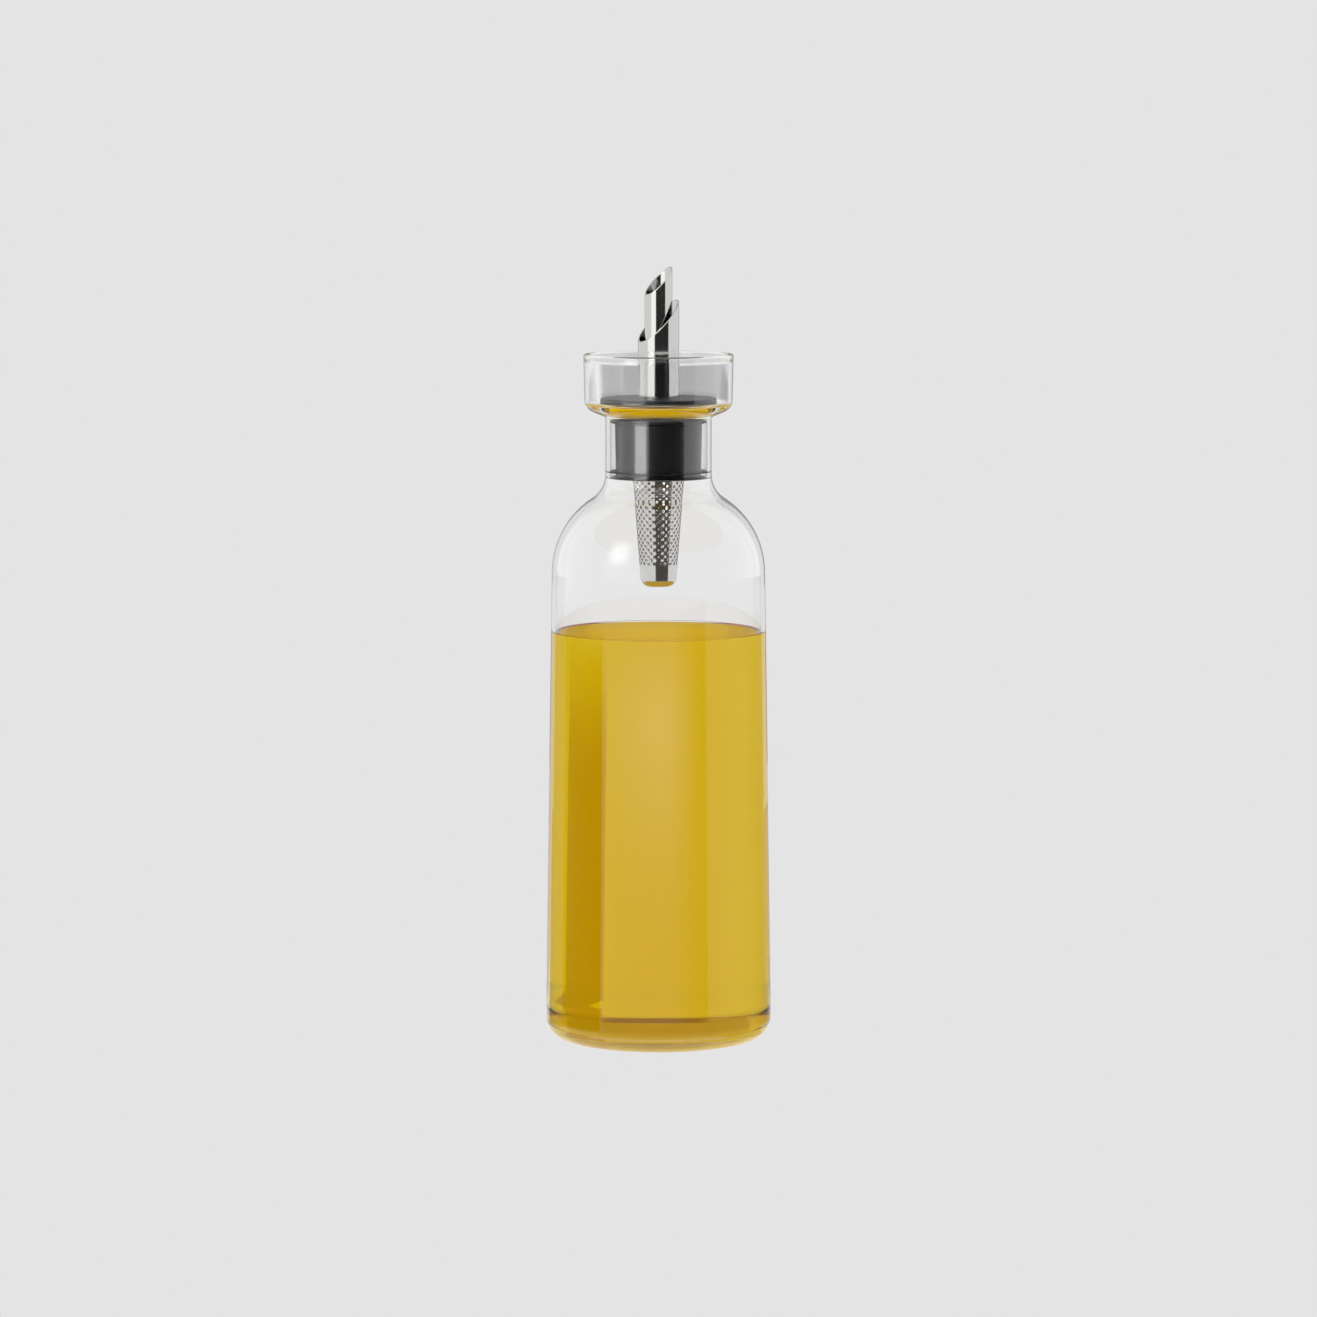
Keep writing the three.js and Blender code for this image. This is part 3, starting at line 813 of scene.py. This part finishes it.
class DISPENSER_OT_spacers(bpy.types.Operator):
    """Make the two centring rings between the tubes, each with feet that leave ways for drips and air"""

    bl_idname = "dispenser.spacers"
    bl_label = "Centring Rings"

    EDGE = 0.12 * MM
    FLANK = math.radians(6)

    def execute(self, context):
        sizes = context.scene.dispenser_spout
        finish = polished_steel("polished_steel_ring", sizes.tint, PRESSED_ROUND)
        bore = sizes.tube_radius + sizes.spacer_gap
        ring = bore + sizes.spacer_ring
        reach = sizes.sleeve_radius - sizes.wall - sizes.spacer_gap
        for node in ("upper_spacer", "lower_spacer"):
            low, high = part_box(node)
            corners = [
                (bore, low.z, self.EDGE),
                (reach, low.z, self.EDGE),
                (reach, high.z, self.EDGE),
                (bore, high.z, self.EDGE),
            ]
            shape = lathe(rounded(corners), TUBE_SIDES, closed=True)
            self.cut_ways(shape, sizes, ring)
            piece(node.replace("spacer", "centring_ring"), shape, finish, "spout", [node])
        return {"FINISHED"}

    def cut_ways(self, shape, sizes, ring):
        """Draws the outside in to the ring between the feet."""
        pitch = TURN / sizes.spacer_feet
        for vert in shape.verts:
            flat = Vector((vert.co.x, vert.co.y))
            if flat.length <= ring:
                continue
            turn = math.atan2(flat.y, flat.x)
            off_foot = abs((turn + pitch / 2) % pitch - pitch / 2) - sizes.spacer_spread / 2
            share = min(1, max(0, off_foot / self.FLANK + 0.5))
            flat *= 1 - share * (1 - ring / flat.length)
            vert.co.x, vert.co.y = flat


class DISPENSER_OT_strainer(bpy.types.Operator):
    """Make the strainer: a deep-drawn cone with staggered rows of round holes and a plain closed end"""

    bl_idname = "dispenser.strainer"
    bl_label = "Strainer"

    DIAMOND = [(1, 0), (0, 1), (-1, 0), (0, -1)]
    POINTS_PER_SIDE = 3
    RING_PER_COLUMN = 4
    LIP = 0.1 * MM
    SHARP = math.radians(40)

    def execute(self, context):
        self.sizes = context.scene.dispenser_strainer
        plug_end = context.scene.dispenser_stopper.end
        tint = context.scene.dispenser_spout.tint
        sizes = self.sizes
        self.cone_top = plug_end
        self.cone_end = sizes.end + sizes.end_corner
        self.field_end = self.cone_end + sizes.plain_band
        self.row_step = (plug_end - self.field_end) / (sizes.rows + 1)
        self.half_step = math.pi / sizes.columns
        self.shape = bmesh.new()
        self.plain_skins()
        for row in range(sizes.rows):
            height = plug_end - (row + 1) * self.row_step
            for column in range(sizes.columns):
                self.cell(2 * column + row % 2, height)
        self.field_edges()
        bmesh.ops.remove_doubles(self.shape, verts=self.shape.verts, dist=SAME_POINT)
        finish = polished_steel("polished_steel_sheet", tint, PRESSED_ROUND)
        made = piece("strainer_cone", self.shape, finish, "strainer", ["strainer_basket"])
        made.data.set_sharp_from_angle(angle=self.SHARP)
        return {"FINISHED"}

    def cone_radius(self, height, inset):
        share = max(0, (self.cone_top - height) / (self.cone_top - self.cone_end))
        return self.sizes.radius - self.sizes.cone_taper * share - inset

    def on_cone(self, turn, height, inset):
        """A point of the cone; turn counts half columns."""
        radius = self.cone_radius(height, inset)
        a = turn * self.half_step
        return Vector((radius * math.cos(a), radius * math.sin(a), height))

    def face(self, corners, turned=False):
        verts = [self.shape.verts.new(corner) for corner in corners]
        made = self.shape.faces.new(list(reversed(verts)) if turned else verts)
        made.smooth = True

    def split(self, corners):
        """Points along a line through corners, up to but without its last corner."""
        points = []
        for (across, up), (across_next, up_next) in zip(corners, corners[1:]):
            for k in range(self.POINTS_PER_SIDE):
                share = k / self.POINTS_PER_SIDE
                points.append((across + (across_next - across) * share, up + (up_next - up) * share))
        return points

    def cell(self, turn, height):
        """A diamond of sheet with a round hole, on both skins, and the hole's own wall."""
        border = self.split([*self.DIAMOND, self.DIAMOND[0]])
        count = len(border)
        reach = self.sizes.hole / self.cone_radius(height, 0) / self.half_step
        skins = []
        for inset in (0, self.sizes.wall):
            hole = []
            edge = []
            for i, (across, up) in enumerate(border):
                a = TURN * i / count
                hole_height = height + self.sizes.hole * math.sin(a)
                hole.append(self.on_cone(turn + reach * math.cos(a), hole_height, inset))
                edge.append(self.on_cone(turn + across, height + up * self.row_step, inset))
            skins.append((hole, edge))
        (outer_hole, outer_edge), (inner_hole, inner_edge) = skins
        for i in range(count):
            n = (i + 1) % count
            self.face([outer_hole[i], outer_edge[i], outer_edge[n], outer_hole[n]])
            self.face([inner_hole[i], inner_edge[i], inner_edge[n], inner_hole[n]], turned=True)
            self.face([outer_hole[i], outer_hole[n], inner_hole[n], inner_hole[i]])

    def field_edges(self):
        """Plain sheet that closes the zigzag edges of the field of holes."""
        last_shift = (self.sizes.rows - 1) % 2
        for base, inward, shift in [(self.cone_top, -1, 0), (self.field_end, 1, last_shift)]:
            notch = base + inward * self.row_step
            middle = (0, base + inward * self.row_step / 3)
            ring = [(1 - 2 * k / self.RING_PER_COLUMN, base) for k in range(self.RING_PER_COLUMN)]
            border = self.split([(-1, base), (0, notch), (1, base)]) + ring
            for column in range(self.sizes.columns):
                turn = 2 * column + 1 + shift
                for here, after in zip(border, border[1:] + border[:1]):
                    for inset in (0, self.sizes.wall):
                        places = (middle, here, after)
                        corners = [self.on_cone(turn + across, height, inset) for across, height in places]
                        self.face(corners, turned=(inset > 0) == (inward < 0))

    def plain_skins(self):
        """Collar, plain band and closed end, with a rounded lip on the collar."""
        sizes = self.sizes
        end_radius = sizes.radius - sizes.cone_taper
        end_middle = point(end_radius - sizes.end_corner, self.cone_end)
        upper = outline(
            [point(self.cone_radius(self.cone_top, 0), self.cone_top)],
            [point(sizes.radius, sizes.top - self.LIP)],
            [point(sizes.radius - self.LIP, sizes.top)],
            [point(sizes.radius - sizes.wall + self.LIP, sizes.top)],
            [point(sizes.radius - sizes.wall, sizes.top - self.LIP)],
            [point(self.cone_radius(self.cone_top, sizes.wall), self.cone_top)],
        )
        outer_end = outline(
            [point(0, sizes.end)],
            arc(end_middle, sizes.end_corner, DOWN, RIGHT),
            [point(self.cone_radius(self.field_end, 0), self.field_end)],
        )
        inner_end = outline(
            [point(self.cone_radius(self.field_end, sizes.wall), self.field_end)],
            arc(end_middle, sizes.end_corner - sizes.wall, RIGHT, DOWN),
            [point(0, sizes.end + sizes.wall)],
        )
        sides = sizes.columns * self.RING_PER_COLUMN
        for stretch in (upper, outer_end, inner_end):
            part = lathe(stretch, sides)
            mesh = bpy.data.meshes.new("strainer_stretch")
            part.to_mesh(mesh)
            part.free()
            self.shape.from_mesh(mesh)
            bpy.data.meshes.remove(mesh)


# Stage


class DISPENSER_OT_stage(bpy.types.Operator):
    """Make the pale floor, the soft studio light and the camera"""

    bl_idname = "dispenser.stage"
    bl_label = "Stage"

    FLOOR_REACH = 6.0
    FLOOR_DROP = 0.3 * MM
    DOME_REACH = 4.0
    DOME_SIDES = 48
    SENSOR = 36.0
    BOUNCES = 48

    CARD_STEP = math.radians(3)
    STRIP_REACH = 0.12
    FLAG_REACH = 1.05
    FLAG_SPAN = (-22, 59)
    BACKING_REACH = 0.5
    BACKING_SPAN = (158, 199)
    BACKING_SPLIT = 0.105
    SIDE_WALL_REACH = 1.1
    WARM_REACH = 0.083
    WARM_SPAN = (158.2, 173.3)
    WARM_LIFT = 0.5 * MM

    # A surface that stands out further than this from the bottle's axis towards such a card doesn't show it
    STRIP_LIMIT = 23 * MM
    FLAG_LIMIT = 26.5 * MM
    SIDE_WALL_LIMIT = 10 * MM

    MAT_NEAR = 0.045
    MAT_GROWTH = 1.175
    MAT_RINGS = 25
    MAT_LIFT = 0.3 * MM
    MAT_MIRROR = 36.5 * MM

    def execute(self, context):
        settings = context.scene.dispenser_stage
        self.azimuth = settings.azimuth
        self.world(context, settings)
        self.floor(settings)
        self.lights(settings)
        self.flags()
        self.walls()
        self.mats()
        self.screens()
        self.camera(context, settings)
        context.scene.view_settings.view_transform = "Standard"
        for limit in ("max_bounces", "transmission_bounces", "glossy_bounces", "transparent_max_bounces"):
            setattr(context.scene.cycles, limit, self.BOUNCES)
        return {"FINISHED"}

    def world(self, context, settings):
        world = bpy.data.worlds.new("pale_surroundings")
        world.use_nodes = True
        world.node_tree.nodes["Background"].inputs["Color"].default_value = (*settings.backdrop, 1)
        context.scene.world = world

    def floor(self, settings):
        reach = self.FLOOR_REACH
        shape = bmesh.new()
        corners = [(-reach, -reach), (reach, -reach), (reach, reach), (-reach, reach)]
        shape.faces.new([shape.verts.new((x, y, -self.FLOOR_DROP)) for x, y in corners])
        self.stage_object("floor", shape, glow("pale_floor", settings.backdrop), seen_by_camera=True)

    def lights(self, settings):
        """The pale room, and the bright cards that gleam on the shoulder, the tubes and the stopper."""
        self.dome("mirrored_room", card_glow("mirrored_room", settings.mirrored, "mirrored"))
        softbox = card_glow("softbox_light", settings.softbox, "mirrored", soft=(0.45, 0.45))
        self.upright("softbox", softbox, span=(-66, -27), reach=1.0, low=0.18, high=1.2)
        paper = card_glow("white_paper", settings.white_card, "mirrored", soft=(0.06, 0.1))
        self.upright("white_card", paper, span=(-64, -22), reach=1.01, low=0.08, high=0.30)
        beyond = self.STRIP_REACH - self.STRIP_LIMIT
        strip = card_glow("strip_light", settings.strip, "mirrored", soft=(0.1, 0.1), beyond=beyond)
        self.upright("neck_light", strip, span=(-51, -24), reach=self.STRIP_REACH, low=0.178, high=0.197)

    def flags(self):
        """Dark cards in front, for what is bare, for what is inside the glass and for the rim."""
        beyond = self.FLAG_REACH - self.FLAG_LIMIT
        cloth = card_glow("black_cloth", 0.03, "mirrored", soft=(0.03, 0.06), beyond=beyond)
        self.upright("dark_flag", cloth, span=self.FLAG_SPAN, reach=self.FLAG_REACH, low=0.02, high=0.27)
        inner_cloth = card_glow("inner_cloth", 1.0, "inside", soft=(0.03, 0.02), tone=CARD_BLACK)
        self.upright("inner_flag", inner_cloth, span=(-20, 64), reach=1.02, low=0.001, high=0.9, near=0.25)
        rim_cloth = card_glow("rim_cloth", 1.0, "rim", soft=(0.03, 0.06), tone=CARD_BLACK)
        self.upright("rim_flag", rim_cloth, span=self.FLAG_SPAN, reach=1.03, low=0.05, high=1.3)

    def walls(self):
        """Grey cards behind and beside the bottle, which draw the outlines of glass and steel."""
        wall = card_glow("back_wall", 0.74, "mirrored", soft=(0.06, 0))
        self.upright("back_wall", wall, span=(140, 220), reach=0.6, low=0.0, high=2.0, near=0.06)
        backed = {"span": self.BACKING_SPAN, "reach": self.BACKING_REACH}
        backing = card_glow("grey_backing", 0.28, "mirrored", soft=(0.2, 0))
        self.upright("wall_backing", backing, **backed, low=self.BACKING_SPLIT, high=0.35)
        low_backing = card_glow("low_backing", 0.28, "outside", soft=(0.2, 0))
        self.upright("body_backing", low_backing, **backed, low=0.03, high=self.BACKING_SPLIT)
        inner_backing = card_glow("inner_backing", 0.45, "inside", soft=(0.1, 0.1))
        self.upright("cup_backing", inner_backing, span=(150, 240), reach=0.55, low=0.17, high=0.35)
        beyond = self.SIDE_WALL_REACH - self.SIDE_WALL_LIMIT
        side_wall = card_glow("side_wall", 0.3, "mirrored", soft=(0.1, 0.15), beyond=beyond)
        for name, span in (("left_wall", (-142, -98)), ("right_wall", (110, 142))):
            self.upright(name, side_wall, span=span, reach=self.SIDE_WALL_REACH, low=0.095, high=0.142)

    def mats(self):
        """Mats on the floor, whose reflections are the pale and dark upright stretches of the glass."""
        whole = [self.MAT_NEAR * self.MAT_GROWTH**i for i in range(self.MAT_RINGS)]
        far_left, left, right = -119, -61.5, 51
        pale_mat = card_glow("pale_mat", 0.95, "outside", soft=(0.01, 0))
        bright_mat = card_glow("bright_mat", 2.2, "outside", soft=(0.5, 0.5))
        line_mat = card_glow("line_mat", 0.25, "outside", soft=(0.5, 0))
        dark_mat = card_glow("dark_mat", 0.2, "outside", soft=(0.5, 0))
        dim_mat = card_glow("dim_mat", 0.3, "outside", soft=(0.01, 0))
        black_mat = card_glow("black_mat", 1.0, "outside", soft=(0.02, 0.1), tone=CARD_BLACK)
        base_mat = card_glow("base_mat", 0.45, "outside", soft=(0.02, 0.2))
        self.mat("front_mat", pale_mat, (left, right), layer=5, reaches=whole)
        self.mat("bright_mat", bright_mat, (-80, 80), layer=6, reaches=[0.25, 1.25, 2.2])
        self.mat("line_mat", line_mat, (8, 94), layer=7, reaches=whole)
        self.mat("right_mat", pale_mat, (right, 150), layer=8, reaches=whole)
        self.mat("left_mat", black_mat, (far_left, left), layer=8, reaches=whole)
        self.mat("far_left_mat", dim_mat, (-150, far_left), layer=8, reaches=whole)
        self.mat("far_right_mat", dark_mat, (75, 185), layer=9, reaches=whole)
        self.mat("base_mat", base_mat, (left, 120), layer=10, reaches=[0.03, 0.06, 0.095])

    def screens(self):
        """Cards that are seen only through the glass, grey behind the cup and warm behind the oil."""
        screen = card_glow("grey_screen", 0.36, "through", soft=(0.06, 0.1))
        self.upright("cup_screen", screen, span=(150, 189.5), reach=0.3, low=0.188, high=0.2066)
        haze = card_glow("pale_screen", 0.6, "through", soft=(0.05, 0.02))
        self.upright("cup_haze", haze, span=(135, 225), reach=0.31, low=0.205, high=0.27)
        side_screen = card_glow("warm_screen", 1.0, "through", soft=(0.05, 0.3), tone=CARD_WARM)
        self.upright("side_screen", side_screen, self.WARM_SPAN, self.WARM_REACH, low=-0.05, high=0.128)
        side_floor = card_glow("warm_floor", 1.0, "through", soft=(0.05, 0), tone=CARD_WARM)
        profile = [(reach, self.WARM_LIFT) for reach in (0.036, self.WARM_REACH)]
        self.card("side_floor", side_floor, self.WARM_SPAN, profile)

    def dome(self, name, finish):
        """A pale room all round, for reflections only."""
        reach = self.DOME_REACH
        low = -self.FLOOR_DROP / 2
        profile = outline([point(0, low)], arc(point(0, low), reach, RIGHT, UP))
        self.stage_object(name, lathe(profile, self.DOME_SIDES), finish)

    def upright(self, name, finish, span, reach, low, high, near=None):
        """An upright card; one with a near end starts with a level stretch from there to its foot."""
        level = [] if near is None else [(near, low)]
        self.card(name, finish, span, [*level, (reach, low), (reach, high)])

    def mat(self, name, finish, span, layer, reaches):
        """A mat on the floor, in one of several layers, with ends that look upright in the bottle."""
        profile = [(reach, layer * self.MAT_LIFT) for reach in reaches]
        self.card(name, finish, span, profile, self.MAT_MIRROR)

    def card(self, name, finish, span, profile, mirror=0):
        """A curved card: its span is in degrees to the right of the camera, its profile in (reach, height).

        Its ends can follow the rays that an upright mirror of some radius throws, to look upright in it.
        """
        start, end = (math.radians(a) for a in span)
        steps = math.ceil((end - start) / self.CARD_STEP)
        shape = bmesh.new()
        spread = shape.loops.layers.uv.new("spread")
        columns = []
        for i in range(steps + 1):
            a = start + (end - start) * i / steps
            column = []
            for reach, height in profile:
                turn = self.azimuth + a - math.asin(min(mirror / reach, 1) * math.sin(a / 2))
                column.append(shape.verts.new((reach * math.sin(turn), -reach * math.cos(turn), height)))
            columns.append(column)
        for i, (here, after) in enumerate(zip(columns, columns[1:])):
            for k in range(len(profile) - 1):
                face = shape.faces.new([here[k], after[k], after[k + 1], here[k + 1]])
                places = [(i, k), (i + 1, k), (i + 1, k + 1), (i, k + 1)]
                for loop, (across, up) in zip(face.loops, places):
                    loop[spread].uv = (across / steps, up / (len(profile) - 1))
        self.stage_object(name, shape, finish)

    def stage_object(self, name, shape, finish, seen_by_camera=False):
        """An object of the stage, which casts no shadow."""
        made = new_object(name, shape, finish)
        made.visible_camera = seen_by_camera
        made.visible_shadow = False

    def camera(self, context, settings):
        data = bpy.data.cameras.new("photo_camera")
        data.lens = settings.lens
        data.sensor_width = self.SENSOR
        camera = bpy.data.objects.new("photo_camera", data)
        side = Vector((math.sin(settings.azimuth), -math.cos(settings.azimuth))) * settings.distance
        camera.location = (*side, settings.height)
        aim = Vector((0, 0, settings.aim)) - camera.location
        camera.rotation_euler = aim.to_track_quat("-Z", "Y").to_euler()
        context.scene.collection.objects.link(camera)
        context.scene.camera = camera


# Add-on


class DISPENSER_PT_panel(bpy.types.Panel):
    """Lists the pieces and their sizes"""

    bl_label = "Oil and Vinegar Dispenser"
    bl_idname = "DISPENSER_PT_panel"
    bl_space_type = "VIEW_3D"
    bl_region_type = "UI"
    bl_category = "Dispenser"

    def draw(self, context):
        for operator in OPERATORS:
            self.layout.operator(operator.bl_idname)
        for name in SETTINGS:
            box = self.layout.box()
            group = getattr(context.scene, name)
            for size in group.__annotations__:
                box.prop(group, size)


SETTINGS = {
    "dispenser_bottle": BottleSizes,
    "dispenser_oil": OilSizes,
    "dispenser_stopper": StopperSizes,
    "dispenser_spout": SpoutSizes,
    "dispenser_strainer": StrainerSizes,
    "dispenser_stage": StageSettings,
}
OPERATORS = [
    DISPENSER_OT_stage,
    DISPENSER_OT_bottle,
    DISPENSER_OT_oil,
    DISPENSER_OT_stopper,
    DISPENSER_OT_tubes,
    DISPENSER_OT_spacers,
    DISPENSER_OT_strainer,
]
CLASSES = [*SETTINGS.values(), *OPERATORS, DISPENSER_PT_panel]


def register():
    for made in CLASSES:
        bpy.utils.register_class(made)
    for name, group in SETTINGS.items():
        setattr(bpy.types.Scene, name, PointerProperty(type=group))


def unregister():
    for name in SETTINGS:
        delattr(bpy.types.Scene, name)
    for made in reversed(CLASSES):
        bpy.utils.unregister_class(made)


def main():
    register()
    bpy.ops.dispenser.stage()
    bpy.ops.dispenser.bottle()
    bpy.ops.dispenser.oil()
    bpy.ops.dispenser.stopper()
    bpy.ops.dispenser.tubes()
    bpy.ops.dispenser.spacers()
    bpy.ops.dispenser.strainer()


if __name__ == "__main__":
    main()
